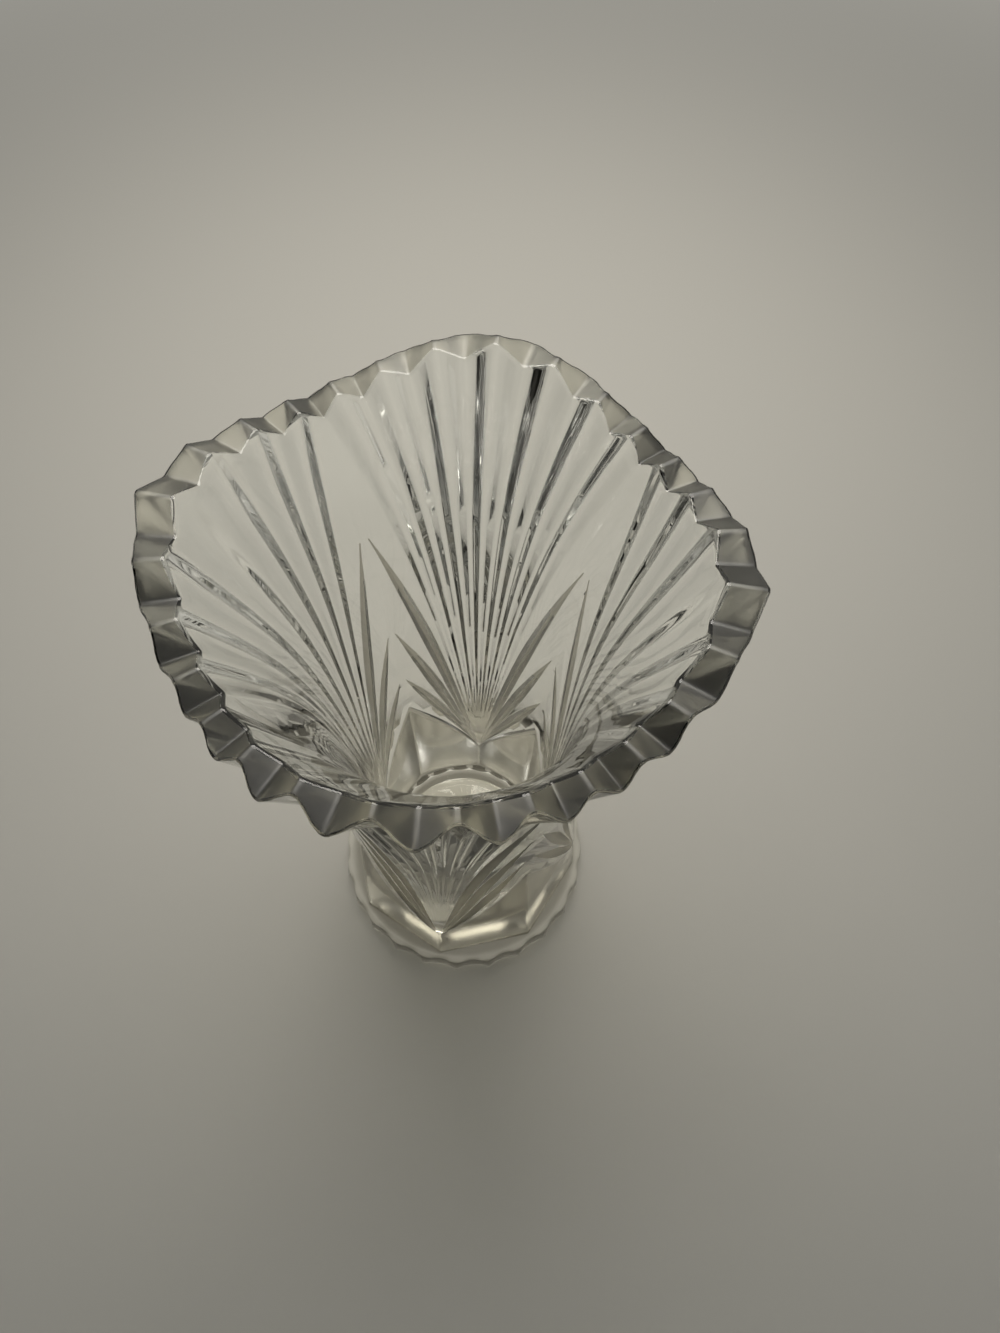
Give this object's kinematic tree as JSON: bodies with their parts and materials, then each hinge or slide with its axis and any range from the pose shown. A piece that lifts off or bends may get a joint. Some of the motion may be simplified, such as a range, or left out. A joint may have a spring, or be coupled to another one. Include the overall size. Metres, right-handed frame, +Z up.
{
  "type": "fan vase",
  "caption": "Heavy clear glass vase with a flared sawtooth rim, fans of long flutes and short leaves on its wall, and a round toothed foot.",
  "frame": {"origin": "centre of the foot, on the surface that the vase stands on", "axes": "+Z up along the vase's axis to its mouth; the fans' centres face +X, +Y, -X and -Y, and the mould seams lie on +X and -X"},
  "size_m": [0.1654, 0.1614, 0.25],
  "materials": {
    "clear_glass": "polished"
  },
  "bodies": {
    "root": {"foot": "clear_glass", "body": "clear_glass", "flared_lip": "clear_glass"}
  },
  "joints": []
}
